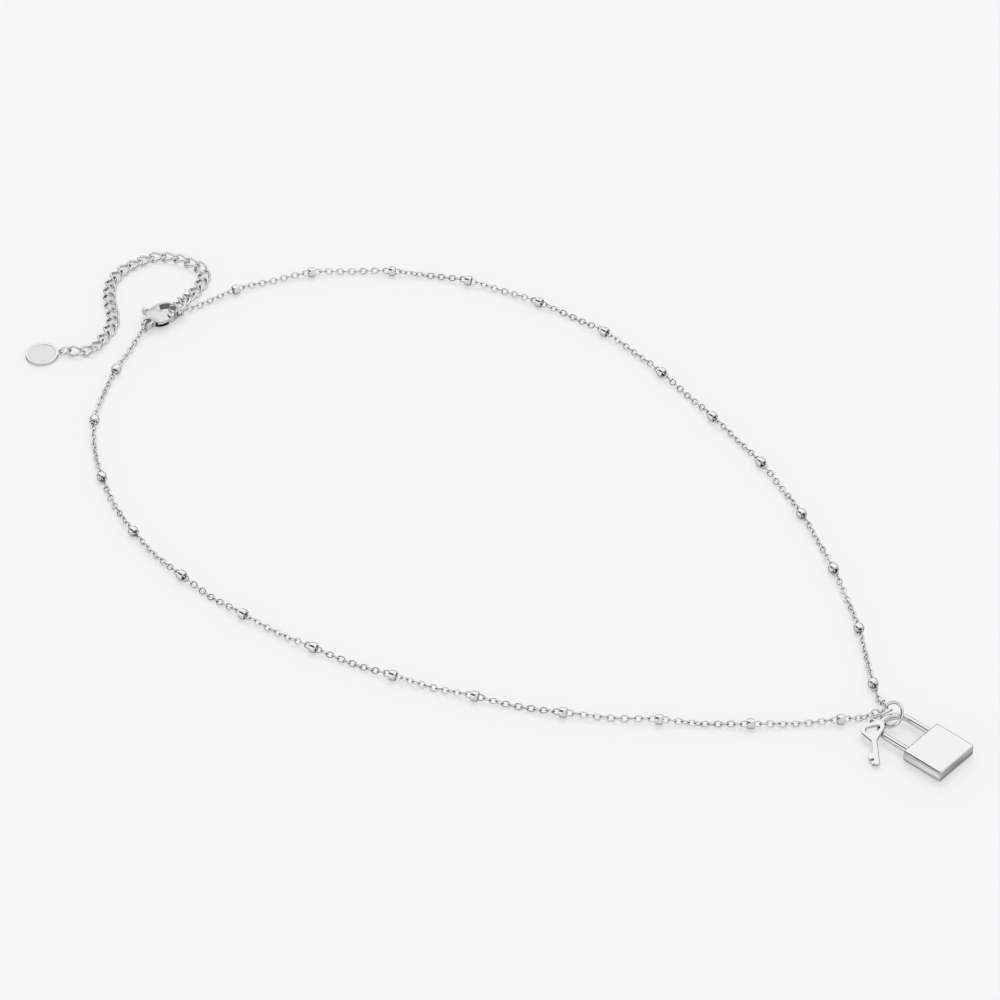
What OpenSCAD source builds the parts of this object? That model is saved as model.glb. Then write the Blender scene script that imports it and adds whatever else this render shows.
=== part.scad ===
// Padlock necklace, laid out on a flat surface with its clasp closed.
// Millimetres. +Z is up and z = 0 is the surface. The necklace lies symmetrically about the Y axis,
// with the padlock at -Y, the clasp at +Y, and the origin under the middle of its bounding box.

/* [Chain] */
// Diameter of the fine cable chain over its links
chain_d = 1.1; // [0.9:0.05:1.2]
// Diameter of a bead of the chain
bead_d = 1.8; // [1.7:0.05:2]
// Length of a bead along the chain
bead_len = 1.3; // [1:0.1:1.4]
// Diameter of the extension's curb chain over its links
extension_d = 1.6; // [1.3:0.1:1.7]

/* [Padlock] */
// Width of the padlock's body, across the shackle
body_w = 9; // [8.8:0.1:9.4]
// Height of the padlock's body, along the shackle's legs
body_h = 7.85; // [7.55:0.05:7.95]
// Thickness of the padlock's body
body_t = 2.4; // [2.4:0.05:2.6]
// Rounding of the body's lower edges
body_edge_r = 0.6; // [0.3:0.1:0.8]
// Rounding of the body's upright corners
body_corner_r = 0.25; // [0.2:0.05:0.5]
// Diameter of the shackle's wire
shackle_wire = 1.14; // [1:0.02:1.14]
// Radius of the shackle's bend, to the middle of its wire
shackle_bend_r = 2.95; // [2.9:0.05:3]
// Length of the shackle's straight legs outside the body
shackle_leg = 4.7; // [4.65:0.05:4.8]

/* [Key] */
// Length of the key from the top of its eyelet to its tip
key_len = 9.6; // [9:0.1:9.7]
// Width of the heart-shaped bow
key_bow_w = 4.2; // [4.1:0.05:4.25]
// Thickness of the key
key_t = 0.6; // [0.5:0.05:0.6]
// Width of the key's shank
key_shank_w = 0.85; // [0.7:0.05:0.95]

/* [Clasp] */
// Height of the clasp in the middle of its domed body
clasp_t = 2.5; // [2.4:0.05:2.5]
// Thickness of the lever between the clasp's cheeks
lever_t = 0.9; // [0.8:0.05:0.95]
// Diameter of the rivet that the lever turns on
rivet_d = 0.7; // [0.6:0.02:0.74]

/* [Tag] */
// Diameter of the round end tag
tag_d = 6.1; // [5.8:0.1:6.2]
// Thickness of the tag at its rim
tag_t = 0.7; // [0.65:0.05:0.8]

/* [Hidden] */
$fn = 64;
metal = [0.78, 0.79, 0.80];

// Beads of the two strands, seen from above and counted from the clasp to the padlock
right_beads = [
    [15.5, 79], [28.5, 71.5], [38.5, 60], [45.5, 47], [49, 32.5], [50, 17.5], [47.5, 2],
    [43.5, -13], [39, -27.5], [32.5, -41.5], [24.5, -54.5], [15, -67], [5.5, -77]
];
left_beads = [
    [-16, 80], [-29, 73], [-39.5, 61], [-46.5, 46.5], [-49.5, 32], [-50, 17], [-48.5, 2],
    [-45, -13], [-40, -27], [-33.5, -41], [-24.5, -54.5], [-15.5, -67], [-5, -78]
];
// Where each strand starts at the clasp and ends at the padlock's ring
right_start = [4, 82.15, 1];
right_end = [1.95, -81.75, 1.7];
left_start = [-5.3, 83.7, 1.2];
left_end = [0.35, -81.75, 1];
// Route of the extension chain from the clasp to the tag
extension_start = [[4.45, 82.9, 2.35], [6.6, 83.75, 1.45]];
extension_route = [
    [9, 84.4], [12, 85.1], [14.7, 86.4], [16.1, 88.6], [16.1, 91.6], [15.3, 94.8], [13.3, 97.6],
    [10, 99.1], [6.5, 99.6], [3, 99], [0, 97.1], [-2.4, 94.6], [-4.6, 91.8], [-7, 89.7],
    [-10, 88.5], [-13, 87.7], [-15.2, 88.1], [-16.9, 89.5]
];

// Padlock: middle of the body, and the angle that it lies at
padlock_pos = [-1.35, -95.44];
padlock_turn = -2.7;
shackle_z = body_t / 2;
shackle_gap = 0.03;
socket_depth = 1.5;

// Jump rings: middle, heading and lift of the axis, radius to the middle of the wire, and wire
pendant_ring = [[0.599, -84.467, 1.863], [155.5, 42.5], 2.12, 0.58];
key_ring = [[-0.533, -83.036, 1.778], [70.3, 38.1], 1.95, 0.34];
eye_ring = [[-3.74, 84.2, 1.28], [109, 0], 1.05, 0.4];
tag_ring = [[-18.27, 90.84, 1.175], [50.4, 20.4], 1.05, 0.34];
end_ring = [[3.097, 82.83, 1.54], [22.6, 2.1], 1.3, 0.45];

// Key: widest place of its bow, heading of its shank, slope down to the tip, and roll about the shank
key_pos = [-4.08, -83.88, 1.81];
key_heading = -137.3;
key_slope = 8.8;
key_roll = -17.5;
lobe_r = 1.2;
bow_point = -3.3;
eyelet_y = 1.25;
eyelet_r = 0.64;
eyelet_hole_r = 0.34;
// Each bit: distance from the key's tip to its upper side, its length, and its reach
bits = [[0.95, 0.7, 0.5], [2.65, 1.3, 0.85]];

// Clasp: middle of its eye, and the angle that it lies at. Its own x axis runs from the eye to the tip.
clasp_pos = [-2.87, 84.5];
clasp_turn = -5;
claw_root = [2.9, 0];
claw_root_r = 2.45;
claw_tip = [4.4, 0.1];
claw_tip_r = 2.5;
claw_neck = [
    [0.7, -0.85], [1.25, -1.76], [2.8, -2.44], [4.4, -2.4], [4.4, 2.6], [2.8, 2.44], [1.25, 1.76], [0.7, 0.85]
];
dome_centre = 3.6;
dome_r = 7.5;
mouth = [4.7, 0.05];
mouth_r = 1.8;
mouth_side = [
    [3.25, -3], [3.4, -2.3], [3.65, -1.5], [3.7, -0.5], [3.55, 0.1], [4.7, 2.1], [7, 2.1], [7, -3]
];
eye_r = 1.15;
eye_hole_r = 0.7;
eye_t = 1.2;
pivot = [2.6, -0.3];
slot_start = 0.85;
gate_reach = 2.95;
gate_gap = 0.08;
gate_head_t = 1.5;
lever_gap = 0.05;
lever_boss_r = 0.9;
// The lever's arm fills the upper part of its slot only: where it starts, the open gap below it, and the corners
// of that gap
arm_start = 1.2;
arm_gap = 0.4;
arm_gap_box = [[1, -3], [3.5, -1.3]];
tab_tip = [2.1, 3.2];
tab_w = 0.8;
tab_knob_r = 0.45;
tab_knob_t = 1.3;
rivet_gap = 0.02;

// Tag: middle of its disc, the angle from it to its lug, and the lug with its hole
tag_pos = [-21.15, 94.15];
tag_turn = -45;
tag_rim_w = 0.5;
tag_recess = 0.12;
lug_x = 3.55;
lug_r = 0.85;
lug_hole_r = 0.5;
lug_z = 0.46;

bead_count = len(right_beads);

function unit(v) = v / norm(v);
function at_height(p, z) = [p.x, p.y, z];

// Point halfway between p[i] and p[i + 1] on the smooth curve through the list
function halfway(p, i) =
    (9 * (p[i] + p[i + 1]) - p[max(i - 1, 0)] - p[min(i + 2, len(p) - 1)]) / 16;

// Route of a strand: it is carried by its beads and drops onto the surface between them
function strand_route(start, beads, end) =
    let (knots = [for (p = concat([start], beads, [end])) at_height(p, 0)])
    concat(
        [start, at_height(halfway(knots, 0), chain_d / 2)],
        [for (i = [0 : len(beads) - 1]) each concat(
            [at_height(beads[i], bead_d / 2)],
            i < len(beads) - 1 ? [at_height(halfway(knots, i + 1), chain_d / 2)] : []
        )],
        [end]
    );

right_route = strand_route(right_start, right_beads, right_end);
left_route = strand_route(left_start, left_beads, left_end);
tail_route = concat(extension_start, [for (p = extension_route) at_height(p, extension_d / 2)]);

// Direction of a route at its point i
function heading(route, i) = unit(route[min(i + 1, len(route) - 1)] - route[max(i - 1, 0)]);

// Tube of eight sides swept along a route
module tube(route, d) {
    sides = 8;
    rings = len(route);
    points = [for (i = [0 : rings - 1])
        let (
            along = heading(route, i),
            across = unit(cross(along, [0, 0, 1])),
            up = cross(across, along)
        )
        for (k = [0 : sides - 1])
            let (a = (k + 0.5) * 360 / sides)
            route[i] + d / 2 * (cos(a) * across + sin(a) * up)
    ];
    walls = [for (i = [0 : rings - 2], k = [0 : sides - 1])
        let (a = i * sides + k, b = i * sides + (k + 1) % sides)
        [a, b, b + sides, a + sides]
    ];
    first = [for (k = [sides - 1 : -1 : 0]) k];
    last = [for (k = [0 : sides - 1]) (rings - 1) * sides + k];
    polyhedron(points, concat([first], walls, [last]));
}

// Closed ring of round wire, from one row of jump ring values
module jump_ring(row) {
    color(metal)
        translate(row[0])
            rotate([0, 90 - row[1][1], row[1][0]])
                rotate_extrude() translate([row[2], 0]) circle(d = row[3], $fn = 32);
}

// Barrel-shaped bead around point i of a strand's route
module bead(route, i) {
    along = heading(route, i);
    barrel_r = 1.2;
    color(metal)
        translate(route[i])
            rotate([0, acos(along.z), atan2(along.y, along.x)])
                rotate_extrude() intersection() {
                    translate([chain_d / 2 + 0.1, -bead_len / 2]) square([bead_d, bead_len]);
                    translate([bead_d / 2 - barrel_r, 0]) circle(barrel_r);
                }
}

module in_clasp() {
    translate([clasp_pos.x, clasp_pos.y, clasp_t / 2]) rotate(clasp_turn) children();
}

// Plate of thickness t about the middle plane of what it is in
module plate(t) {
    translate([0, 0, -t / 2]) linear_extrude(t) children();
}

// Egg-shaped outline of the claw, seen from above
module claw_outline() {
    translate(claw_root) circle(claw_root_r);
    translate(claw_tip) circle(claw_tip_r);
    polygon(claw_neck);
}

// Slot between the two cheeks, open to the gate's side and to the thumb tab's side
module cheek_slot() {
    polygon([[slot_start, -3], [4, -3], [4, 0.7], [3.3, 1], [3.1, 3], [slot_start, 3]]);
}

// Mouth of the claw, with the opening that the gate closes
module mouth_outline() {
    intersection() {
        union() {
            translate(mouth) circle(mouth_r);
            translate(pivot) circle(gate_reach + gate_gap);
        }
        polygon(mouth_side);
    }
}

module rivet_bore(gap) {
    translate([pivot.x, pivot.y, -clasp_t]) cylinder(d = rivet_d + 2 * gap, h = 2 * clasp_t);
}

module clasp_body() {
    color(metal) in_clasp() difference() {
        union() {
            intersection() {
                plate(clasp_t) claw_outline();
                translate([dome_centre, 0, clasp_t / 2 - dome_r]) sphere(dome_r, $fn = 96);
                translate([dome_centre, 0, dome_r - clasp_t / 2]) sphere(dome_r, $fn = 96);
            }
            plate(eye_t) circle(eye_r);
        }
        plate(2 * clasp_t) circle(eye_hole_r);
        plate(2 * clasp_t) mouth_outline();
        plate(lever_t + 2 * lever_gap) cheek_slot();
        rivet_bore(rivet_gap);
    }
}

// Gate of the lever: it follows the claw's outline and ends short of the hook's tip
module gate_outline() {
    intersection() {
        translate([0, 0.12]) claw_outline();
        translate(pivot) circle(gate_reach);
        polygon([[arm_start, -0.7], [3.2, -0.7], [4.1, -1.45], [6, -1.45], [6, -3], [arm_start, -3]]);
    }
}

module tab_outline() {
    across = tab_w / 2;
    translate(tab_tip) circle(tab_knob_r);
    polygon([
        [pivot.x - across, pivot.y], [pivot.x + across, pivot.y],
        [tab_tip.x + across, tab_tip.y], [tab_tip.x - across, tab_tip.y]
    ]);
}

module clasp_lever() {
    color(metal) in_clasp() difference() {
        union() {
            plate(lever_t) {
                translate(pivot) circle(lever_boss_r);
                gate_outline();
                tab_outline();
            }
            plate(gate_head_t) intersection() {
                gate_outline();
                translate([3.85, -3]) square(3);
            }
            plate(tab_knob_t) intersection() {
                tab_outline();
                translate([0, 2.6]) square(4);
            }
        }
        rivet_bore(lever_gap);
        translate([arm_gap_box[0].x, arm_gap_box[0].y, -clasp_t])
            linear_extrude(clasp_t - lever_t / 2 + arm_gap) square(arm_gap_box[1] - arm_gap_box[0]);
    }
}

module clasp_rivet() {
    color(metal) in_clasp()
        translate([pivot.x, pivot.y, 0.1 - clasp_t / 2]) cylinder(d = rivet_d, h = clasp_t - 0.2);
}

module in_padlock() {
    translate([padlock_pos.x, padlock_pos.y, 0]) rotate(padlock_turn) children();
}

module rounded_rectangle(w, h, r) {
    square([w - 2 * r, h], center = true);
    square([w, h - 2 * r], center = true);
    for (x = [-1, 1], y = [-1, 1])
        translate([x * (w / 2 - r), y * (h / 2 - r)]) circle(r);
}

// Upright section of the body: sharp above and rounded below
module body_section(w) {
    r = body_edge_r;
    translate([-w / 2, r]) square([w, body_t - r]);
    translate([r - w / 2, 0]) square([w - 2 * r, body_t]);
    for (side = [-1, 1])
        translate([side * (w / 2 - r), r]) circle(r);
}

module padlock_body() {
    color(metal) in_padlock() difference() {
        intersection() {
            linear_extrude(body_t) rounded_rectangle(body_w, body_h, body_corner_r);
            translate([0, body_h, 0]) rotate([90, 0, 0]) linear_extrude(2 * body_h) body_section(body_w);
            translate([-body_w, 0, 0]) rotate([90, 0, 90]) linear_extrude(2 * body_w) body_section(body_h);
        }
        for (side = [-1, 1])
            translate([side * shackle_bend_r, body_h / 2 - socket_depth, shackle_z])
                rotate([-90, 0, 0]) cylinder(d = shackle_wire + 2 * shackle_gap, h = 2 * socket_depth);
    }
}

module shackle() {
    foot = body_h / 2 - socket_depth + 0.1;
    shoulder = body_h / 2 + shackle_leg;
    color(metal) in_padlock() translate([0, 0, shackle_z]) {
        for (side = [-1, 1])
            translate([side * shackle_bend_r, foot, 0])
                rotate([-90, 0, 0]) cylinder(d = shackle_wire, h = shoulder - foot);
        translate([0, shoulder, 0])
            rotate_extrude(angle = 180) translate([shackle_bend_r, 0]) circle(d = shackle_wire);
    }
}

// Heart-shaped bow: two lobes beside the origin, and straight sides from them to the point
module bow() {
    lobe_x = key_bow_w / 2 - lobe_r;
    to_lobe = [lobe_x, -bow_point];
    a = atan2(to_lobe.y, to_lobe.x) - asin(lobe_r / norm(to_lobe));
    side = sqrt(to_lobe * to_lobe - lobe_r * lobe_r) * [cos(a), sin(a)] + [0, bow_point];
    for (x = [-lobe_x, lobe_x]) translate([x, 0]) circle(lobe_r);
    polygon([[0, bow_point], side, [lobe_x, 0], [0, lobe_r / 2], [-lobe_x, 0], [-side.x, side.y]]);
}

// Opening of the bow, straight above and with two round ends below
module bow_opening() {
    for (x = [-0.7, 0.7]) translate([x, -0.33]) circle(0.6);
    translate([-0.7, -0.33]) square([1.4, 0.6]);
}

// Key in its own frame: the bow's widest place at the origin and the shank along -Y
module key_blank() {
    tip = eyelet_y + eyelet_r - key_len;
    plate(key_t) difference() {
        union() {
            bow();
            translate([0, eyelet_y]) circle(eyelet_r);
            translate([-key_shank_w / 2, tip]) square([key_shank_w, bow_point + 1 - tip]);
            for (b = bits)
                translate([-key_shank_w / 2 - b[2], tip + b[0] - b[1]]) square([b[2] + 0.2, b[1]]);
        }
        bow_opening();
        translate([0, eyelet_y]) circle(eyelet_hole_r);
    }
}

module key() {
    color(metal)
        translate(key_pos)
            rotate([0, 0, key_heading + 90]) rotate([key_slope, 0, 0]) rotate([0, key_roll, 0]) key_blank();
}

module in_tag() {
    translate([tag_pos.x, tag_pos.y, 0]) rotate(tag_turn) children();
}

module tag() {
    lug_t = tag_t - lug_z;
    color(metal) in_tag() difference() {
        union() {
            cylinder(d = tag_d, h = tag_t);
            translate([lug_x, 0, lug_z]) cylinder(r = lug_r, h = lug_t);
        }
        translate([0, 0, tag_t - tag_recess]) cylinder(d = tag_d - 2 * tag_rim_w, h = tag_t);
        translate([lug_x, 0, -tag_t]) cylinder(r = lug_hole_r, h = 3 * tag_t);
    }
}

color(metal) tube(right_route, chain_d);  // chain_right
color(metal) tube(left_route, chain_d);  // chain_left
for (i = [1 : bead_count]) bead(right_route, 2 * i);
for (i = [1 : bead_count]) bead(left_route, 2 * i);
clasp_body();
clasp_lever();
clasp_rivet();
jump_ring(eye_ring);
jump_ring(end_ring);
color(metal) tube(tail_route, extension_d);  // extension_chain
jump_ring(tag_ring);
tag();
jump_ring(pendant_ring);
padlock_body();
shackle();
jump_ring(key_ring);
key();
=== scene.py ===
import math

import bpy
import numpy as np
from mathutils import Matrix, Vector
from mathutils.kdtree import KDTree


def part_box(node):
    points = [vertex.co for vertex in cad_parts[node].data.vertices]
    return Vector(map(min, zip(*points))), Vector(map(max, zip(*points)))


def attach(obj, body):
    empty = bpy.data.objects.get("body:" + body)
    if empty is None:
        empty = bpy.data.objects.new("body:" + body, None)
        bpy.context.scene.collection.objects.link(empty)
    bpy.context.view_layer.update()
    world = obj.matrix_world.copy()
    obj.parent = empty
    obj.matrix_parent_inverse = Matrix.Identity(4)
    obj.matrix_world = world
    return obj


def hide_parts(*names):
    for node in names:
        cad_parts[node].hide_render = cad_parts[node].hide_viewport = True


# Looks of the padlock necklace. Lengths are in millimetres, and MM turns them into metres.
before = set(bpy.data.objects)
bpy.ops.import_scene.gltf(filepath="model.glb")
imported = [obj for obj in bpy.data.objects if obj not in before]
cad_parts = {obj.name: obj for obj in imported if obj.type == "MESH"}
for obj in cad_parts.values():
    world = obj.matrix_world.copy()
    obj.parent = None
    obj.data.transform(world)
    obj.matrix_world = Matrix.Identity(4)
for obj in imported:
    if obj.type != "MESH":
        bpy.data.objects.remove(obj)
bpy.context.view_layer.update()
MM = 0.001
UP = np.array([0.0, 0.0, 1.0])
# Room that is left under a link
CLEARANCE = 0.005
# A link's play on its neighbours
PLAY = 0.02

# Neck chain: links from one bead to the next, their pitch and width, and both sizes of their flattened wire
LINKS_PER_BEAD = 14
LINK_PITCH = 1.08
LINK_WIDTH = 1.24
LINK_WIRE = 0.26
LINK_THICK = 0.21
# Points along a link and round its wire, and the powers of both outlines: 2 is round, more is squarer
LINK_STEPS, LINK_SIDES = 22, 12
LINK_OVAL, LINK_FLATNESS = 2.15, 2.8
# Width of the link that is caught inside a bead, and height of the chain halfway between two beads
CAUGHT_WIDTH = 1.0
CHAIN_LOW = 0.55

# Extension: pitch, width and wire of a curb link, how far its wire leaves the middle plane, its points and
# outline as for the other links, and the reach over which the direction of the row is taken
CURB_PITCH = 2.41
CURB_WIDTH = 2.5
CURB_WIRE = 0.5
CURB_TWIST = -0.75
CURB_STEPS, CURB_SIDES = 40, 14
CURB_OVAL = 2.2
CURB_REACH = 1.2

# Bead: length, radius at its middle and at its ends, bore, rounding of its lips, power of its domed side,
# points along that side and steps round it, and the reach over which a bead takes its direction
BEAD_LENGTH = 1.26
BEAD_RADIUS = 0.9
BEAD_END_RADIUS = 0.78
BEAD_BORE = 0.65
BEAD_LIP = 0.045
BEAD_DOME = 2.2
BEAD_POINTS, BEAD_STEPS = 15, 40
BEAD_REACH = 4.0
BEAD_COUNT = 13

# Jump rings: angle at which each is cut, width of the cut, and how far the wire is drawn in at its ends
RING_CUTS = {"eye_ring": 2.2, "end_ring": 4.4, "tag_ring": 1.0, "pendant_ring": 5.3, "key_ring": 2.0}
RING_GAP = 0.035
RING_END_SCALE = 0.9
RING_STEPS, RING_SIDES = 121, 24

# How far the links near the clasp are turned from 45 degrees: link, counted from the clasp, and degrees.
# Past the last row they wander by two slow waves: degrees, turn for each link, and phase. The curb links are
# tilted by such waves too.
RIGHT_TURNS = [(0, 38), (11, 42), (17, 12), (21, 0), (28, 0)]
LEFT_TURNS = [(0, 22), (8, 22), (13, -5)]
RIGHT_WAVES = [(22, 0.23, 1.0), (12, 0.71, 0.0)]
LEFT_WAVES = [(22, 0.21, 2.6), (12, 0.63, 1.0)]
CURB_WAVES = [(7, 1.7, 0.6), (4, 0.9, 0.0)]
MEAN_TURN = 45
# Links over which the charted turns give way to the waves, and over which a ring turns the links near it
TURN_BLEND = 7
END_BLEND = 3.5

# Ends of the CAD tubes of the chains, which the links carry on to the rings
RIGHT_ENDS = ([4.0, 82.15, 1.0], [1.95, -81.75, 1.7])
LEFT_ENDS = ([-5.3, 83.7, 1.2], [0.35, -81.75, 1.0])
EXTENSION_ROUTE = [
    [4.45, 82.9, 2.35], [6.6, 83.75, 1.45], [9, 84.4, 0.62], [12, 85.1, 0.58], [14.7, 86.4, 0.58],
    [16.1, 88.6, 0.58], [16.1, 91.6, 0.58], [15.3, 94.8, 0.58], [13.3, 97.6, 0.58], [10, 99.1, 0.58],
    [6.5, 99.6, 0.58], [3, 99, 0.58], [0, 97.1, 0.58], [-2.4, 94.6, 0.58], [-4.6, 91.8, 0.58],
    [-7, 89.7, 0.58], [-10, 88.5, 0.58], [-13, 87.7, 0.58], [-15.2, 88.1, 0.58], [-16.9, 89.5, 0.7],
]

# Padlock: size of the body, roundings of its corners and of the edge of its back, and shape of that edge
BODY_W, BODY_H, BODY_T = 9.0, 7.85, 2.4
BODY_CORNER_R, BODY_LEAST_R, BODY_EDGE_R = 0.25, 0.08, 0.6
BACK_STEPS, BACK_INSET = 11, 0.05
# Chamfer round its face: distances in from the wall and down from the face
BODY_CHAMFER = [(0.0, 0.17), (0.03, 0.125), (0.2, 0.02), (0.25, 0.002), (0.35, 0.0)]
PADLOCK_POS = [-1.35, -95.44]
PADLOCK_TURN = math.radians(-2.7)
# Shackle: wire, radius of its bend, length of its legs, and points along a leg, along the bend and round it
SHACKLE_WIRE, SHACKLE_BEND_R, SHACKLE_LEG = 1.14, 2.95, 4.7
SHACKLE_Z = BODY_T / 2
LEG_STEPS, BEND_STEPS, SHACKLE_SIDES = 14, 49, 40
# Sockets of the body: depth, room round the legs and under them, and how far the cutting shape sticks out
SOCKET_DEPTH = 1.5
SOCKET_GAP, FOOT_GAP = 0.03, 0.1
SOCKET_TOOL, SOCKET_SIDES = 1, 48

# Polished copies of CAD shapes: points closer than this, in metres, are one, and strength of a smoothing pass
WELD_WITHIN, SMOOTHING = 1e-7, 0.5

# Clasp: half height of the slot between its cheeks, and how the cheeks swell from their rim
CHEEK_INSIDE = 0.52
SWELL_FROM, SWELL_TO, SWELL_WIDTH = 0.5, 1.1, 1.5
# Rim: height over the slot from which upright skin counts as rim, and how far it may lean
RIM_ABOVE, RIM_LEAN = 0.25, 0.5
# The rim counts from this far off the rivet, so that the cheeks stand full height round the rivet
BULB_R = 1.35
# Grid on which the swelling is worked out: step, steps past the clasp on each side, and passes of blurring
GRID_STEP, GRID_MARGIN, GRID_PASSES = 0.1, 3, 40
# Painted shade inside the hook: corner, from the rivet, beyond which walls belong to the inside of the hook,
# and the way that they face
HOOK_CORNER = np.array([1.6, -0.3])
HOOK_FACING = (-0.6, -0.8, 0)
FACING_FROM, FACING_TO = 0.4, 0.6
HOOK_BLUR = 0.15
HOOK_SHADE_COLOUR = (0.22, 0.22, 0.22, 1)

# Tag: diameter, radius of the satin field inside its rim, width of the field's soft edge, and its colour
TAG_D, TAG_FIELD_R, TAG_FIELD_SOFT = 6.1, 2.5, 0.1
TAG_FIELD_COLOUR = (0.76, 0.76, 0.765, 1)

# Reflectance of steel near its silhouette, as part of what a plain metal has there
EDGE_TINT = 0.1
# Clouds of wear: number to a millimetre, part of their range that changes the finish, and change of colour
CLOUDS, CLOUD_DETAIL = 0.9, 3.0
WEAR_FROM, WEAR_TO = 0.3, 0.7
TONE_SPREAD = 0.03
# Grain: height of its dents, and detail of its pattern
GRAIN_HEIGHT, GRAIN_DETAIL = 0.0006, 4.0
# Painted shade in recesses and where parts touch: openness at which it is darkest, the colour painted there,
# and rays that look for it
RECESS_FROM, RECESS_SHADE_TONE, RECESS_SAMPLES = 0.2, 0.05, 8
# Painted shade on upright walls, in level streaks: streaks to a millimetre along X, Y and Z, part of their
# range that counts, and the colour of the shade
WALL_SHADE_STREAKS = (0.12, 0.12, 2.6)
WALL_SHADE_FROM, WALL_SHADE_TO = 0.38, 0.62
WALL_SHADE_COLOUR = (0.05, 0.05, 0.05, 1)
# Height of the normal up to which skin is all wall, and from which it is none
WALL_FULL, WALL_NONE = 0.25, 0.6

# Surface: half its width, how far it lies below the necklace, its colour and glow, and both as steel sees it
FLOOR_HALF, FLOOR_DROP = 3000.0, 0.002
FLOOR_ALBEDO, FLOOR_GLOW = 0.42, 0.51
MIRRORED_ALBEDO, MIRRORED_GLOW = 0.4, 0.38
# Small card on the surface beside the padlock, for its left wall: nearest and farthest reach from the wall,
# how far it passes the body below and above, how far it lies below the necklace, and its light
CARD_FROM, CARD_TO = 0.45, 3.4
CARD_BELOW, CARD_ABOVE = 0.3, 1.6
CARD_DROP = 0.001
CARD_LIGHT = 1.2
# Light of the panels, of the side of -Y and of the gap overhead
PANEL_LIGHT, FRONT_LIGHT, ROOM_LIGHT = 1.12, 0.8, 0.08
# Gap between the panels: angles from straight up, towards +X, and half the width of its soft edges
GAP_FROM, GAP_TO, GAP_SOFT = math.radians(-50), math.radians(-9), math.radians(5)
# Y of a direction at which the light of the side of -Y is full, and at which it ends
FRONT_FULL, FRONT_END = -0.3, -0.1
# The panels are dimmed to this part at the horizon, up to this height
HORIZON_LIGHT, HORIZON_TOP = 0.4, 0.12
# Soft light from above: strength, width, and the direction that it comes from
SUN_LIGHT, SUN_WIDTH, SUN_FROM = 0.7, math.radians(30), (0.45, 0.3, 0.84)

# Camera, as fitted to the photo
CAMERA_PLACE = np.array([-436.39, -368.77, 504.88])
CAMERA_AZIMUTH = math.radians(-49.725)
CAMERA_PITCH = math.radians(41.305)
CAMERA_ROLL = math.radians(-0.411)
CAMERA_LENS, CAMERA_SENSOR = 154.46, 36.0
# Nearest and farthest that it sees, in metres
CAMERA_NEAR, CAMERA_FAR = 0.05, 20.0


def unit(v):
    v = np.asarray(v, float)
    return v / np.linalg.norm(v)


def centre_of(node):
    lo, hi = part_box(node)
    return np.array((lo + hi) / 2) / MM


# Meshes
def new_mesh(name, verts, faces):
    mesh = bpy.data.meshes.new(name)
    mesh.from_pydata((np.asarray(verts) * MM).tolist(), [], [list(f) for f in faces])
    return mesh


def new_object(name, data):
    thing = bpy.data.objects.new(name, data)
    bpy.context.scene.collection.objects.link(thing)
    return thing


def result_of(thing):
    """Mesh of an object with its modifiers applied."""
    bpy.context.view_layer.update()
    changed = thing.evaluated_get(bpy.context.evaluated_depsgraph_get())
    return bpy.data.meshes.new_from_object(changed)


def new_piece(name, shape, material, replaces, sharp=35):
    return finish_piece(name, new_mesh(name, *shape), material, "root", replaces, sharp)


def finish_piece(name, mesh, material, body, replaces, sharp):
    """Piece of a mesh: smooth up to the sharp angle, and named, placed and painted for the part."""
    mesh.validate()
    mesh.shade_smooth()
    mesh.set_sharp_from_angle(angle=math.radians(sharp))
    mesh.materials.clear()
    mesh.materials.append(material)
    piece = new_object(name, mesh)
    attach(piece, body)
    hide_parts(*replaces)
    return piece


def section(width, thick, sides, power=2.0):
    """Cross section of a wire: round at a power of 2, with flattened faces above that."""
    turn = (np.arange(sides) + 0.5) * 2 * math.pi / sides
    cos, sin = np.cos(turn), np.sin(turn)
    x = width / 2 * np.sign(cos) * np.abs(cos) ** (2 / power)
    y = thick / 2 * np.sign(sin) * np.abs(sin) ** (2 / power)
    return np.stack([x, y], 1)


def bands(rows, sides, closed):
    """Faces between rows of points that each run round an outline."""
    faces = []
    for i in range(rows if closed else rows - 1):
        j = (i + 1) % rows
        for k in range(sides):
            m = (k + 1) % sides
            faces.append((i * sides + k, i * sides + m, j * sides + m, j * sides + k))
    return faces


def caps(rows, sides):
    """Faces that close the first and the last of such rows."""
    return tuple(range(sides))[::-1], tuple((rows - 1) * sides + k for k in range(sides))


def sweep(path, profile, reference=UP, closed=False, scale=None):
    """Wire of a cross section along a path. The section's height stands along the reference direction."""
    path = np.asarray(path, float)
    count, sides = len(path), len(profile)
    if closed:
        tangent = np.roll(path, -1, 0) - np.roll(path, 1, 0)
    else:
        tangent = np.gradient(path, axis=0)
    tangent /= np.linalg.norm(tangent, axis=1)[:, None]
    across = np.cross(tangent, np.broadcast_to(reference, tangent.shape))
    across /= np.linalg.norm(across, axis=1)[:, None]
    over = np.cross(across, tangent)
    offset = profile[None, :, :1] * across[:, None] + profile[None, :, 1:] * over[:, None]
    if scale is not None:
        offset = offset * np.asarray(scale)[:, None, None]
    verts = (path[:, None] + offset).reshape(-1, 3)
    faces = bands(count, sides, closed)
    if not closed:
        faces += caps(count, sides)
    return verts, faces


def joined(parts):
    verts, faces, offset = [], [], 0
    for v, f in parts:
        verts.append(v)
        faces += [tuple(offset + i for i in face) for face in f]
        offset += len(v)
    return np.concatenate(verts), faces


def lathe(profile, steps, centre, axis):
    """Closed profile of (along, radius) points turned about the axis through the centre."""
    axis = unit(axis)
    side = unit(np.cross(axis, UP if abs(axis[2]) < 0.9 else [1.0, 0, 0]))
    over = np.cross(axis, side)
    profile = np.asarray(profile, float)
    turn = np.arange(steps) * 2 * math.pi / steps
    outward = np.cos(turn)[:, None] * side + np.sin(turn)[:, None] * over
    verts = centre + profile[None, :, :1] * axis + profile[None, :, 1:] * outward[:, None]
    return verts.reshape(-1, 3), bands(steps, len(profile), closed=True)


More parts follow.
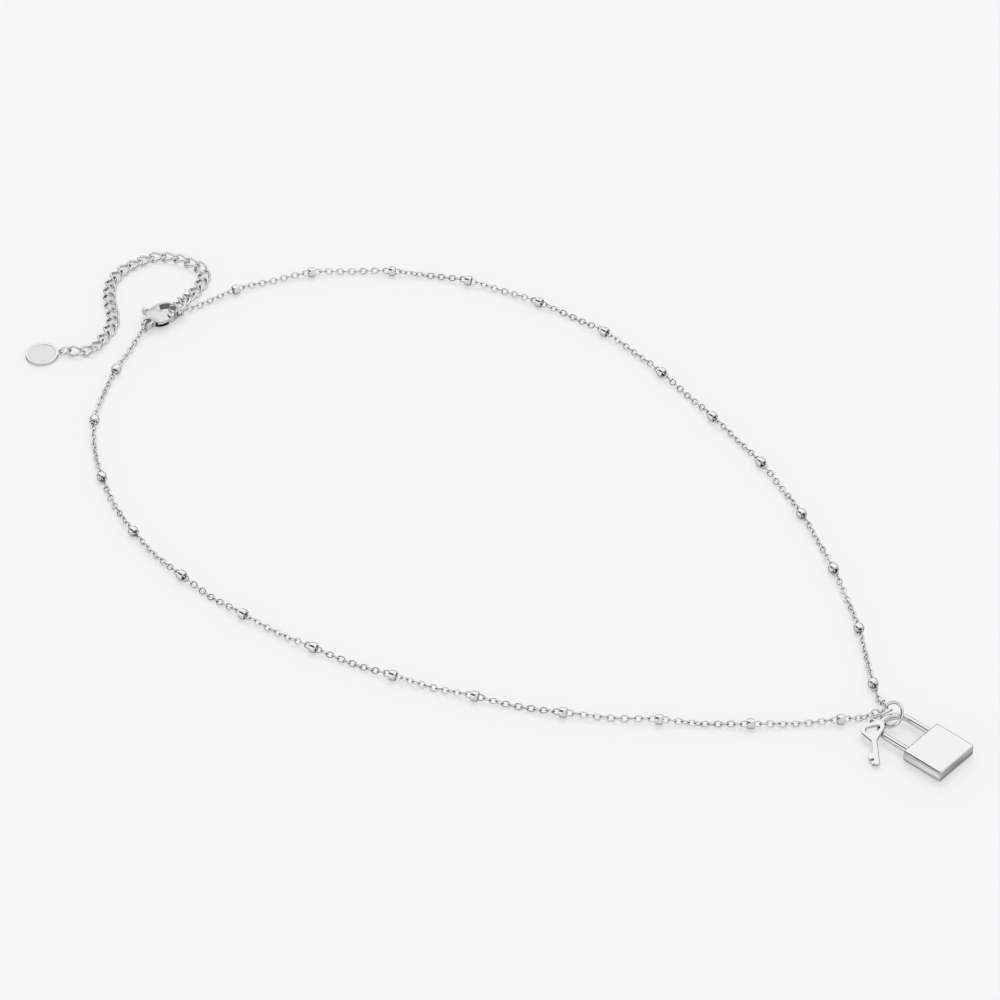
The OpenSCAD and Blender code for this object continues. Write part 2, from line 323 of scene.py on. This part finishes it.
# Routes
def between(t, start, end, a, b):
    """Value at t on the line from a at the start to b at the end."""
    return (end - t) / (end - start) * a + (t - start) / (end - start) * b


class Route:
    """Smooth curve through points, measured along its length."""

    def __init__(self, points, per_span=24):
        p = np.asarray(points, float)
        p = np.vstack([2 * p[0] - p[1], p, 2 * p[-1] - p[-2]])
        dense = []
        for i in range(1, len(p) - 2):
            spans = [np.linalg.norm(p[i + k] - p[i + k - 1]) ** 0.5 for k in range(3)]
            t0, t1, t2, t3 = np.cumsum([0] + spans)
            for t in np.linspace(t1, t2, per_span, endpoint=False):
                a1 = between(t, t0, t1, p[i - 1], p[i])
                a2 = between(t, t1, t2, p[i], p[i + 1])
                a3 = between(t, t2, t3, p[i + 1], p[i + 2])
                b1 = between(t, t0, t2, a1, a2)
                b2 = between(t, t1, t3, a2, a3)
                dense.append(between(t, t1, t2, b1, b2))
        dense.append(p[-2])
        self.points = np.array(dense)
        steps = np.linalg.norm(np.diff(self.points, axis=0), axis=1)
        self.at = np.concatenate([[0], np.cumsum(steps)])
        self.knots = self.at[::per_span]
        self.length = self.at[-1]

    def point(self, s):
        return np.array([np.interp(s, self.at, self.points[:, k]) for k in range(3)])

    def heading(self, s, reach=0.3):
        return unit(self.point(min(s + reach, self.length)) - self.point(max(s - reach, 0)))


# Rings, as measured on their CAD nodes
class Ring:
    def __init__(self, node):
        co = np.array([v.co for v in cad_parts[node].data.vertices]) / MM
        self.axis = np.linalg.svd(co - co.mean(0), full_matrices=False)[2][2]
        first = unit(np.cross(self.axis, UP))
        spans = [(axis, co @ axis) for axis in (first, np.cross(self.axis, first), self.axis)]
        self.centre = sum((span.max() + span.min()) / 2 * axis for axis, span in spans)
        self.wire = np.ptp(spans[2][1])
        self.radius = (np.ptp(spans[0][1]) - self.wire) / 2
        self.node = node

    def nearest(self, point):
        """Point of the wire's middle line nearest to a point, and the wire's direction there."""
        away = np.asarray(point, float) - self.centre
        away = unit(away - (away @ self.axis) * self.axis)
        return self.centre + self.radius * away, unit(np.cross(self.axis, away))

    def build(self, cut, material):
        """Ring of round wire, cut at an angle about its axis as a jump ring is."""
        first = unit(np.cross(self.axis, UP))
        second = np.cross(self.axis, first)
        gap = RING_GAP / self.radius
        turn = np.linspace(cut + gap / 2, cut + 2 * math.pi - gap / 2, RING_STEPS)
        path = self.centre + self.radius * (np.cos(turn)[:, None] * first + np.sin(turn)[:, None] * second)
        # the ends are drawn in a little, so that the cut shows as a fine line with rounded lips
        scale = np.ones(len(turn))
        scale[[0, -1]] = RING_END_SCALE
        shape = sweep(path, section(self.wire, self.wire, RING_SIDES), self.axis, scale=scale)
        new_piece(self.node + "_wire", shape, material, [self.node])


# Chains
def oval(length, width, wire, steps, power):
    """Middle line of an oval link: along x, across y."""
    turn = np.arange(steps) * 2 * math.pi / steps
    cos, sin = np.cos(turn), np.sin(turn)
    x = (length - wire) / 2 * np.sign(cos) * np.abs(cos) ** (2 / power)
    y = (width - wire) / 2 * np.sign(sin) * np.abs(sin) ** (2 / power)
    return np.stack([x, y, np.zeros(steps)], 1)


def axes_at(along, turn):
    """Length, width and face directions of a link whose width is turned from level by an angle."""
    level = unit(np.cross(UP, along))
    upright = np.cross(along, level)
    across = math.cos(turn) * level + math.sin(turn) * upright
    return np.array([along, across, np.cross(along, across)])


def resting(link):
    """The same link, lifted where it would reach below the surface."""
    verts, faces = link
    return verts + max(0.0, CLEARANCE - verts[:, 2].min()) * UP, faces


def cable_link(centre, along, turn, pitch, width):
    axes = axes_at(along, turn)
    line = oval(pitch + 2 * LINK_WIRE + PLAY, width, LINK_WIRE, LINK_STEPS, LINK_OVAL)
    wire = section(LINK_WIRE, LINK_THICK, LINK_SIDES, LINK_FLATNESS)
    return resting(sweep(centre + line @ axes, wire, axes[2], closed=True))


def turn_to_clear(along, wire_direction):
    """Turn at which a link's plane stands square to the wire that it goes round."""
    level = unit(np.cross(UP, along))
    upright = np.cross(along, level)
    normal = wire_direction - (wire_direction @ along) * along
    across = np.cross(normal, along)
    return math.atan2(across @ upright, across @ level)


def nearest_turn(turn, wanted):
    """The same link position, turned by half turns to be the closest to the wanted angle."""
    return turn + math.pi * round((wanted - turn) / math.pi)


def strand_places(first, beads, last):
    """Places of the links along a strand, and which of them are at the middle of a bead."""
    marks = [first, *beads, last]
    places, at_mark = [], []
    for i, (a, b) in enumerate(zip(marks[:-1], marks[1:])):
        between_beads = 0 < i < len(beads)
        count = LINKS_PER_BEAD if between_beads else round((b - a) / LINK_PITCH)
        at_mark.append(len(places))
        places += list(a + (b - a) * np.arange(count) / count)
    return places + [last], at_mark[1:]


def wave_sum(i, waves):
    return sum(size * math.sin(rate * i + phase) for size, rate, phase in waves)


def link_turn(i, turns, waves):
    """Turn of link i from level, in degrees, from the charted turns and then the waves."""
    links, degrees = zip(*turns)
    charted = np.interp(i, links, degrees)
    part = min(max((i - links[-1]) / TURN_BLEND, 0), 1)
    return MEAN_TURN + (1 - part) * charted + part * wave_sum(i, waves)


def link_turns(route, places, tips, turns, waves):
    """Turns of all links of a strand: each a quarter turn on from the last, and the end ones square to the
    wire of their ring."""
    count = len(places)
    base = [math.radians(link_turn(i, turns, waves)) for i in range(count)]
    for end, (_, wire_direction) in zip((0, count - 1), tips):
        quarter = math.pi / 2 * (end % 2)
        wanted = turn_to_clear(route.heading(places[end]), wire_direction)
        offset = nearest_turn(wanted, base[end] + quarter) - base[end] - quarter
        for i in range(count):
            base[i] += offset * math.exp(-(abs(i - end) / END_BLEND) ** 2)
    return [turn + math.pi / 2 * (i % 2) for i, turn in enumerate(base)]


def strand_route(beads, tips, ends):
    """Route of a strand from ring to ring. It runs through its beads and hangs low halfway between them."""
    flat = [np.array([*p[:2], 0.0]) for p in [ends[0], *beads, ends[1]]]
    knots = [tips[0][0], np.array(ends[0])]
    for i in range(len(flat) - 1):
        before, after = flat[max(i - 1, 0)], flat[min(i + 2, len(flat) - 1)]
        halfway = (9 * (flat[i] + flat[i + 1]) - before - after) / 16
        knots.append(halfway + CHAIN_LOW * UP)
        knots.append(beads[i] if i < len(beads) else np.array(ends[1]))
    knots.append(tips[1][0])
    return Route(knots)


def strand(side, ends, rings, turns, waves, material, bead_material):
    """One side of the neck chain: links from the ring at the clasp to the pendant's ring, and beads."""
    beads = [centre_of(f"bead_{side}_{i}") for i in range(1, BEAD_COUNT + 1)]
    tips = [ring.nearest(end) for ring, end in zip(rings, ends)]
    route = strand_route(beads, tips, ends)
    bead_at = [route.knots[3 + 2 * i] for i in range(BEAD_COUNT)]
    inset = [LINK_PITCH / 2 - ring.wire / 2 for ring in rings]
    places, at_bead = strand_places(inset[0], bead_at, route.length - inset[1])
    pitch = np.gradient(places)
    turned = link_turns(route, places, tips, turns, waves)
    links = []
    for i, s in enumerate(places):
        width = CAUGHT_WIDTH if i in at_bead else LINK_WIDTH
        links.append(cable_link(route.point(s), route.heading(s), turned[i], pitch[i], width))
    new_piece(f"links_{side}", joined(links), material, [f"chain_{side}"])
    for i, s in enumerate(bead_at):
        build_bead(f"bead_{side}_{i + 1}", route.point(s), route.heading(s, BEAD_REACH), bead_material)


def build_bead(node, centre, axis, material):
    """Barrel with a domed side, rounded lips and an open bore."""
    half, lip = BEAD_LENGTH / 2, BEAD_LIP
    bulge = BEAD_RADIUS - BEAD_END_RADIUS
    along = np.linspace(-half + lip, half - lip, BEAD_POINTS)
    outer = [(x, BEAD_RADIUS - bulge * abs(x / half) ** BEAD_DOME) for x in along]
    lips = [(half, BEAD_END_RADIUS - lip), (half, BEAD_BORE + lip / 2), (half - lip, BEAD_BORE)]
    inner = [(-half + lip, BEAD_BORE), (-half, BEAD_BORE + lip / 2), (-half, BEAD_END_RADIUS - lip)]
    shape = lathe(outer + lips + inner, BEAD_STEPS, centre, axis)
    new_piece(node + "_barrel", shape, material, [node])


def curb_link(centre, along, tilt, pitch):
    """Curb link: an oval twisted so that it lies flat in the row."""
    axes = axes_at(along, tilt)
    length = pitch + 2 * CURB_WIRE + PLAY
    line = oval(length, CURB_WIDTH, CURB_WIRE, CURB_STEPS, CURB_OVAL)
    a, b = (length - CURB_WIRE) / 2, (CURB_WIDTH - CURB_WIRE) / 2
    line[:, 2] = CURB_TWIST * line[:, 0] * line[:, 1] / (a * b)
    wire = section(CURB_WIRE, CURB_WIRE, CURB_SIDES)
    return resting(sweep(centre + line @ axes, wire, axes[2], closed=True))


def extension(rings, material):
    """Row of curb links from the ring in the clasp to the tag's ring."""
    first = rings[0].nearest(EXTENSION_ROUTE[0])[0]
    last = rings[1].nearest(EXTENSION_ROUTE[-1])[0]
    route = Route([first, *EXTENSION_ROUTE, last])
    start = CURB_PITCH / 2 - rings[0].wire / 2
    stop = route.length - CURB_PITCH / 2 + rings[1].wire / 2
    count = round((stop - start) / CURB_PITCH)
    pitch = (stop - start) / count
    links = []
    for i in range(count + 1):
        s = start + pitch * i
        tilt = math.radians(wave_sum(i, CURB_WAVES))
        links.append(curb_link(route.point(s), route.heading(s, CURB_REACH), tilt, pitch))
    new_piece("curb_links", joined(links), material, ["extension_chain"])


# Padlock
def in_padlock(points):
    points = np.asarray(points, float)
    c, s = math.cos(PADLOCK_TURN), math.sin(PADLOCK_TURN)
    x = PADLOCK_POS[0] + c * points[:, 0] - s * points[:, 1]
    y = PADLOCK_POS[1] + s * points[:, 0] + c * points[:, 1]
    return np.stack([x, y, points[:, 2]], 1)


def rounded_outline(w, h, r, steps=9):
    """Counter-clockwise rectangle with round corners."""
    points = []
    for cx, cy, start in ((1, 1, 0), (-1, 1, 90), (-1, -1, 180), (1, -1, 270)):
        for a in np.radians(np.linspace(start, start + 90, steps)):
            points.append([cx * (w / 2 - r) + r * math.cos(a), cy * (h / 2 - r) + r * math.sin(a)])
    return np.array(points)


def loft(sections):
    """Closed solid through outlines of the same number of points, from the lowest to the highest."""
    rows, sides = len(sections), len(sections[0])
    bottom, top = caps(rows, sides)
    return np.concatenate(sections), [bottom, *bands(rows, sides, closed=False), top]


def padlock_body(material):
    """Flat body with a round edge at its back, a fine chamfer at its face, and sockets for the shackle."""
    levels = [(BODY_EDGE_R + BACK_INSET, 0.0)]
    for a in np.radians(np.linspace(0, 90, BACK_STEPS)):
        levels.append((BODY_EDGE_R * (1 - math.sin(a)), BODY_EDGE_R * (1 - math.cos(a))))
    levels += [(inset, BODY_T - drop) for inset, drop in BODY_CHAMFER]
    sections = []
    for inset, z in levels:
        corner = max(BODY_CORNER_R - inset, BODY_LEAST_R)
        outline = rounded_outline(BODY_W - 2 * inset, BODY_H - 2 * inset, corner)
        sections.append(in_padlock(np.column_stack([outline, np.full(len(outline), z)])))
    solid = loft(sections)
    piece = new_piece("padlock_case", solid, material, ["padlock_body"], sharp=50)
    bore = SHACKLE_WIRE + 2 * SOCKET_GAP
    bottom, top = BODY_H / 2 - SOCKET_DEPTH, BODY_H / 2 + SOCKET_TOOL
    for x in (-SHACKLE_BEND_R, SHACKLE_BEND_R):
        line = in_padlock([[x, bottom, SHACKLE_Z], [x, top, SHACKLE_Z]])
        cut_away(piece, sweep(line, section(bore, bore, SOCKET_SIDES)))


def cut_away(piece, shape):
    """Takes a closed shape out of a piece."""
    cutter = new_object("cutter", new_mesh("cutter", *shape))
    change = piece.modifiers.new("cut", "BOOLEAN")
    change.operation, change.solver, change.object = "DIFFERENCE", "EXACT", cutter
    result = result_of(piece)
    piece.modifiers.clear()
    piece.data = result
    bpy.data.objects.remove(cutter)


def shackle(material):
    """U of round wire whose legs stand in the body's sockets."""
    foot, shoulder = BODY_H / 2 - SOCKET_DEPTH + FOOT_GAP, BODY_H / 2 + SHACKLE_LEG
    leg = np.linspace(foot, shoulder, LEG_STEPS, endpoint=False)
    bend = np.linspace(0, math.pi, BEND_STEPS)
    aside = np.full(len(leg), SHACKLE_BEND_R)
    x = np.concatenate([aside, SHACKLE_BEND_R * np.cos(bend), -aside])
    y = np.concatenate([leg, shoulder + SHACKLE_BEND_R * np.sin(bend), leg[::-1]])
    path = in_padlock(np.stack([x, y, np.full(len(x), SHACKLE_Z)], 1))
    shape = sweep(path, section(SHACKLE_WIRE, SHACKLE_WIRE, SHACKLE_SIDES))
    new_piece("shackle_bow", shape, material, ["shackle"])


# Pieces whose shape is right in CAD, with their edges broken as polishing does
def polished_copy(sources, name, material, voxel, passes, body="root", shape=None):
    """CAD nodes as one skin with all its edges softly rounded, which a function may shape further."""
    parts = []
    for node in sources:
        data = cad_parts[node].data
        parts.append((np.array([v.co for v in data.vertices]), [tuple(p.vertices) for p in data.polygons]))
    verts, faces = joined(parts)
    mesh = bpy.data.meshes.new(name)
    mesh.from_pydata(verts.tolist(), [], faces)
    draft = new_object(name, mesh)
    weld = draft.modifiers.new("weld", "WELD")
    weld.merge_threshold = WELD_WITHIN
    remesh = draft.modifiers.new("remesh", "REMESH")
    remesh.mode, remesh.voxel_size = "VOXEL", voxel * MM
    smooth = draft.modifiers.new("smooth", "SMOOTH")
    smooth.factor, smooth.iterations = SMOOTHING, passes
    mesh = result_of(draft)
    bpy.data.objects.remove(draft)
    places = np.array([v.co for v in mesh.vertices]) / MM
    if shape:
        places = shape(places, np.array([v.normal for v in mesh.vertices]))
    places[:, 2] = np.maximum(places[:, 2], 0.0)
    mesh.vertices.foreach_set("co", (places * MM).ravel())
    mesh.update()
    finish_piece(name, mesh, material, body, sources, sharp=60)


def swelling_grid(rim, low, high):
    """Part of its height that a cheek keeps, by its distance from the rim, on a level grid. It is blurred
    there, so that the cheek gets no creases."""
    tree = KDTree(len(rim))
    for i, (x, y, _) in enumerate(rim):
        tree.insert((x, y, 0.0), i)
    tree.balance()
    away = np.zeros(((high - low) / GRID_STEP).astype(int) + 1)
    for i, j in np.ndindex(*away.shape):
        away[i, j] = tree.find((low[0] + i * GRID_STEP, low[1] + j * GRID_STEP, 0.0))[2]
    part = np.minimum(away / SWELL_WIDTH, 1)
    grid = SWELL_FROM + (SWELL_TO - SWELL_FROM) * part ** 2 * (3 - 2 * part)
    for _ in range(GRID_PASSES):
        beside = sum(np.roll(grid, step, axis) for step in (-1, 1) for axis in (0, 1))
        grid = (4 * grid + beside) / 8
    return grid


def on_grid(grid, spots):
    """Values of a grid at spots between its points."""
    i, j = spots.astype(int).T
    u, v = (spots % 1).T
    low_side = (1 - u) * grid[i, j] + u * grid[i + 1, j]
    high_side = (1 - u) * grid[i, j + 1] + u * grid[i + 1, j + 1]
    return (1 - v) * low_side + v * high_side


def swollen_cheeks(places, normals):
    """Clasp whose cheeks swell from their rim, with the rivet burnished flush into them."""
    middle = centre_of("clasp_body")[2]
    rivet = centre_of("clasp_rivet")[:2]
    height = places[:, 2] - middle
    outside = np.abs(height) > CHEEK_INSIDE
    upright = (np.abs(height) > CHEEK_INSIDE + RIM_ABOVE) & (np.abs(normals[:, 2]) < RIM_LEAN)
    rim = upright & (np.linalg.norm(places[:, :2] - rivet, axis=1) > BULB_R)
    low = places[:, :2].min(0) - GRID_MARGIN * GRID_STEP
    high = places[:, :2].max(0) + GRID_MARGIN * GRID_STEP
    grid = swelling_grid(places[rim], low, high)
    kept = on_grid(grid, (places[outside, :2] - low) / GRID_STEP)
    swollen = CHEEK_INSIDE + (np.abs(height[outside]) - CHEEK_INSIDE) * kept
    shaped = places.copy()
    shaped[outside, 2] = middle + np.sign(height[outside]) * swollen
    return shaped


# Materials
class Graph:
    """Nodes of a material or world. An input takes a number, a colour or the output of another node."""

    def __init__(self, owner):
        owner.use_nodes = True
        self.nodes, self.links = owner.node_tree.nodes, owner.node_tree.links
        self.shader = self.nodes.get("Principled BSDF")

    def feed(self, socket, value):
        if isinstance(value, bpy.types.NodeSocket):
            self.links.new(value, socket)
        else:
            socket.default_value = value

    def add(self, kind, inputs=None, **settings):
        """Adds a node, and gives its outputs."""
        node = self.nodes.new("ShaderNode" + kind)
        for name, value in settings.items():
            setattr(node, name, value)
        for key, value in (inputs or {}).items():
            self.feed(node.inputs[key], value)
        return node.outputs

    def place(self):
        return self.add("TexCoord")["Object"]

    def normal(self):
        return self.add("NewGeometry")["Normal"]

    def calc(self, operation, *values):
        return self.add("Math", dict(enumerate(values)), operation=operation)[0]

    def vector(self, operation, *values):
        return self.add("VectorMath", dict(enumerate(values)), operation=operation)

    def noise(self, place, scale, detail):
        return self.add("TexNoise", {"Vector": place, "Scale": scale, "Detail": detail})["Fac"]

    def ramp(self, value, low, high, to_low=0.0, to_high=1.0, kind="LINEAR"):
        ends = {"From Min": low, "From Max": high, "To Min": to_low, "To Max": to_high}
        return self.add("MapRange", {"Value": value, **ends}, interpolation_type=kind)["Result"]

    def mix(self, factor, a, b, kind="RGBA"):
        """Colour, or number of the kind FLOAT, that goes from a to b as the factor goes from 0 to 1."""
        first, second, out = {"FLOAT": (2, 3, 0), "RGBA": (6, 7, 2)}[kind]
        return self.add("Mix", {"Factor": factor, first: a, second: b}, data_type=kind)[out]

    def turn_towards(self, name, factor, goal, kind="RGBA"):
        """Takes what feeds an input of the shader towards a goal where the factor is 1."""
        socket = self.shader.inputs[name]
        self.feed(socket, self.mix(factor, socket.links[0].from_socket, goal, kind))

    def surface(self, shader):
        """Puts another shader in the place of the first one."""
        self.nodes.remove(self.shader)
        self.feed(self.nodes["Material Output"].inputs["Surface"], shader)


def grey(tone):
    return tone, tone, tone, 1


def tinted(colour, factor):
    return (*[min(1, c * factor) for c in colour], 1)


def steel(name, colour, rough, spread, grain, stretch=(1, 1, 1), turn=0.0, reach=0.5, open_at=0.6):
    """Steel with a finish clouded by handling, a fine grain in one direction, and painted shade in its
    recesses and where parts touch.
    """
    material = bpy.data.materials.new(name)
    graph = Graph(material)
    sockets = graph.shader.inputs
    graph.feed(sockets["Metallic"], 1.0)
    graph.feed(sockets["Specular Tint"], grey(EDGE_TINT))
    place = graph.place()
    layout = {"Vector": place, "Rotation": (0, 0, turn), "Scale": [s / MM for s in stretch]}
    fine = graph.noise(graph.add("Mapping", layout)["Vector"], grain, GRAIN_DETAIL)
    clouds = graph.noise(place, CLOUDS / MM, CLOUD_DETAIL)
    wear = graph.mix(0.5, fine, clouds, "FLOAT")
    graph.feed(sockets["Roughness"], graph.ramp(wear, WEAR_FROM, WEAR_TO, rough - spread, rough + spread))
    # painted shade: recesses and spots where parts touch are darkened by how closed in they are
    openness = graph.add("AmbientOcclusion", {"Distance": reach * MM}, samples=RECESS_SAMPLES)["AO"]
    unshaded = graph.ramp(openness, RECESS_FROM, open_at)
    tint = graph.mix(clouds, tinted(colour, 1 - TONE_SPREAD), tinted(colour, 1 + TONE_SPREAD))
    graph.feed(sockets["Base Color"], graph.mix(unshaded, tinted(colour, RECESS_SHADE_TONE), tint))
    dents = {"Strength": 1.0, "Distance": GRAIN_HEIGHT * MM, "Height": fine}
    graph.feed(sockets["Normal"], graph.add("Bump", dents)["Normal"])
    return material


def rough_and_shaded_walls(material, rough, depth):
    """Gives upright walls a rougher finish, and painted shade in level streaks that darkens them."""
    graph = Graph(material)
    steep = graph.calc("ABSOLUTE", graph.add("SeparateXYZ", {0: graph.normal()})["Z"])
    wall = graph.ramp(steep, WALL_FULL, WALL_NONE, 1.0, 0.0)
    graph.turn_towards("Roughness", wall, rough, "FLOAT")
    level = graph.add("Mapping", {"Vector": graph.place(), "Scale": [s / MM for s in WALL_SHADE_STREAKS]})
    lines = graph.noise(level["Vector"], 1.0, CLOUD_DETAIL)
    shade = graph.ramp(lines, WALL_SHADE_FROM, WALL_SHADE_TO, depth, depth / 3)
    # painted shade: upright walls are mixed towards a near-black, more so in some level streaks
    graph.turn_towards("Base Color", graph.calc("MULTIPLY", shade, wall), WALL_SHADE_COLOUR)


def painted_hook_shade(material, corner):
    """Paints shade on the walls that face -X and -Y, beyond a corner along X and Y: the inside of the hook.
    """
    graph = Graph(material)
    parts = graph.add("SeparateXYZ", {0: graph.place()})
    past_x = graph.ramp(parts["X"], corner[0] * MM, (corner[0] + HOOK_BLUR) * MM)
    past_y = graph.ramp(parts["Y"], corner[1] * MM, (corner[1] + HOOK_BLUR) * MM)
    towards = graph.vector("DOT_PRODUCT", graph.normal(), HOOK_FACING)["Value"]
    facing = graph.ramp(towards, FACING_FROM, FACING_TO)
    inner = graph.calc("MULTIPLY", graph.calc("MULTIPLY", past_x, past_y), facing)
    graph.turn_towards("Base Color", inner, HOOK_SHADE_COLOUR)


def satin_disc(material, centre, radius, rough):
    """Gives a round field about an upright axis a satin finish."""
    graph = Graph(material)
    apart = graph.vector("SUBTRACT", graph.place(), [c * MM for c in centre])[0]
    level = graph.vector("MULTIPLY", apart, (1, 1, 0))[0]
    far = graph.vector("LENGTH", level)["Value"]
    field = graph.ramp(far, radius * MM, (radius + TAG_FIELD_SOFT) * MM, 1.0, 0.0)
    graph.turn_towards("Roughness", field, rough, "FLOAT")
    graph.turn_towards("Base Color", field, TAG_FIELD_COLOUR)


def floor_material():
    """Backlit sheet: part of its light comes from below, and polished steel sees it a little darker."""
    material = bpy.data.materials.new("pale_sheet")
    graph = Graph(material)
    sheets = []
    for albedo, glow in ((FLOOR_ALBEDO, FLOOR_GLOW), (MIRRORED_ALBEDO, MIRRORED_GLOW)):
        cloth = graph.add("BsdfDiffuse", {"Color": grey(albedo)})[0]
        light = graph.add("Emission", {"Strength": glow})[0]
        sheets.append(graph.add("AddShader", {0: cloth, 1: light})[0])
    mirrored = graph.add("LightPath")["Is Glossy Ray"]
    graph.surface(graph.add("MixShader", {0: mirrored, 1: sheets[0], 2: sheets[1]})[0])
    return material


# Studio
def camera():
    a, p = CAMERA_AZIMUTH, CAMERA_PITCH
    forward = Vector((-math.sin(a) * math.cos(p), math.cos(a) * math.cos(p), -math.sin(p)))
    right = Vector((math.cos(a), math.sin(a), 0))
    up = right.cross(forward)
    c, s = math.cos(CAMERA_ROLL), math.sin(CAMERA_ROLL)
    right, up = c * right + s * up, c * up - s * right
    data = bpy.data.cameras.new("camera")
    data.lens, data.sensor_width = CAMERA_LENS, CAMERA_SENSOR
    data.clip_start, data.clip_end = CAMERA_NEAR, CAMERA_FAR
    eye = new_object("camera", data)
    turn = Matrix((right, up, -forward)).transposed()
    eye.matrix_world = Matrix.Translation(Vector(CAMERA_PLACE * MM)) @ turn.to_4x4()
    bpy.context.scene.camera = eye


def rectangle(left, right, low, high):
    """Corners of a level rectangle."""
    return np.array([[left, low, 0.0], [right, low, 0.0], [right, high, 0.0], [left, high, 0.0]])


def floor():
    corners = rectangle(-FLOOR_HALF, FLOOR_HALF, -FLOOR_HALF, FLOOR_HALF)
    mesh = new_mesh("floor", corners - FLOOR_DROP * UP, [(0, 1, 2, 3)])
    mesh.materials.append(floor_material())
    plane = new_object("floor", mesh)


def bounce_card():
    """Card that lights the padlock's left wall. The camera doesn't see it."""
    material = bpy.data.materials.new("card")
    graph = Graph(material)
    graph.surface(graph.add("Emission", {"Strength": CARD_LIGHT})[0])
    left, right = -BODY_W / 2 - CARD_TO, -BODY_W / 2 - CARD_FROM
    low, high = -BODY_H / 2 - CARD_BELOW, BODY_H / 2 + CARD_ABOVE
    corners = in_padlock(rectangle(left, right, low, high))
    mesh = new_mesh("card", corners - CARD_DROP * UP, [(0, 1, 2, 3)])
    mesh.materials.append(material)
    card = new_object("card", mesh)
    for ray in ("camera", "diffuse", "shadow", "transmission", "volume_scatter"):
        setattr(card, f"visible_{ray}", False)


def sun():
    data = bpy.data.lights.new("key_light", "SUN")
    data.energy, data.angle = SUN_LIGHT, SUN_WIDTH
    lamp = new_object("key_light", data)
    lamp.visible_glossy = False
    lamp.rotation_mode = "QUATERNION"
    lamp.rotation_quaternion = Vector(SUN_FROM).to_track_quat("Z", "Y")


def tent():
    """Studio round the necklace: a large bright panel behind and to the right, a second one low on the
    left, a dark gap between them overhead, and a weaker light on the side of -Y."""
    world = bpy.data.worlds.new("tent")
    bpy.context.scene.world = world
    graph = Graph(world)
    calc = graph.calc
    parts = graph.add("SeparateXYZ", {0: graph.add("TexCoord")["Generated"]})

    def smooth(value, low, high, to_low, to_high):
        return graph.ramp(value, low, high, to_low, to_high, "SMOOTHSTEP")

    # angle about the Y axis from straight up, towards +X
    lean = calc("ARCTAN2", parts["X"], parts["Z"])
    past_start = smooth(lean, GAP_FROM - GAP_SOFT, GAP_FROM + GAP_SOFT, 0.0, 1.0)
    before_end = smooth(lean, GAP_TO - GAP_SOFT, GAP_TO + GAP_SOFT, 1.0, 0.0)
    gap = calc("MULTIPLY", past_start, before_end)
    front = smooth(parts["Y"], FRONT_FULL, FRONT_END, 1.0, 0.0)
    horizon = smooth(parts["Z"], 0.0, HORIZON_TOP, HORIZON_LIGHT, 1.0)
    lit = calc("MULTIPLY", calc("SUBTRACT", 1.0, gap), calc("SUBTRACT", 1.0, front))
    lit = calc("MULTIPLY", lit, horizon)
    light = calc("ADD", calc("MULTIPLY", lit, PANEL_LIGHT - ROOM_LIGHT), ROOM_LIGHT)
    light = calc("ADD", light, calc("MULTIPLY", front, FRONT_LIGHT - ROOM_LIGHT))
    sockets = graph.nodes["Background"].inputs
    graph.feed(sockets["Strength"], light)
    graph.feed(sockets["Color"], grey(1))


def tag_centre():
    """Middle of the tag's disc, which is the flat part away from its lug at +X -Y."""
    lo, hi = (np.array(corner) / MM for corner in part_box("tag"))
    radius = TAG_D / 2
    return np.array([lo[0] + radius, hi[1] - radius, 0.0])


def build():
    camera()
    floor()
    bounce_card()
    sun()
    tent()
    bpy.context.scene.view_settings.view_transform = "Standard"
    polished = steel("polished_steel", (0.8, 0.8, 0.81), rough=0.1, spread=0.04, grain=9.0, open_at=0.75)
    wire = steel("chain_wire", (0.8, 0.8, 0.81), rough=0.11, spread=0.05, grain=14.0, reach=0.35, open_at=0.9)
    brushed = {"stretch": (0.35, 3, 3), "turn": PADLOCK_TURN}
    case = steel("padlock_steel", (0.8, 0.8, 0.805), rough=0.13, spread=0.04, grain=7.0, **brushed)
    # the case's upright walls get painted shade in level streaks
    rough_and_shaded_walls(case, rough=0.3, depth=0.6)
    cast = steel("cast_steel", (0.79, 0.79, 0.8), rough=0.14, spread=0.05, grain=5.0, reach=0.9, open_at=0.85)
    claw = steel("clasp_steel", (0.7, 0.7, 0.71), rough=0.26, spread=0.06, grain=4.0, reach=0.8, open_at=0.85)
    # painted shade on the inside of the hook, for both clasp pieces
    painted_hook_shade(claw, centre_of("clasp_rivet")[:2] + HOOK_CORNER)
    disc = steel("tag_steel", (0.79, 0.79, 0.8), rough=0.14, spread=0.04, grain=5.0)
    satin_disc(disc, tag_centre(), TAG_FIELD_R, rough=0.42)
    rings = {node: Ring(node) for node in RING_CUTS}
    for node, cut in RING_CUTS.items():
        rings[node].build(cut, polished)
    right_rings = (rings["end_ring"], rings["pendant_ring"])
    left_rings = (rings["eye_ring"], rings["pendant_ring"])
    strand("right", RIGHT_ENDS, right_rings, RIGHT_TURNS, RIGHT_WAVES, wire, polished)
    strand("left", LEFT_ENDS, left_rings, LEFT_TURNS, LEFT_WAVES, wire, polished)
    extension((rings["end_ring"], rings["tag_ring"]), wire)
    padlock_body(case)
    shackle(polished)
    clasp = ["clasp_body", "clasp_rivet"]
    polished_copy(["key"], "key_blank", cast, voxel=0.038, passes=12)
    polished_copy(clasp, "clasp_claw", claw, voxel=0.042, passes=12, shape=swollen_cheeks)
    polished_copy(["clasp_lever"], "clasp_gate", claw, voxel=0.042, passes=10, body="lever")
    polished_copy(["tag"], "end_tag", disc, voxel=0.045, passes=12)


build()
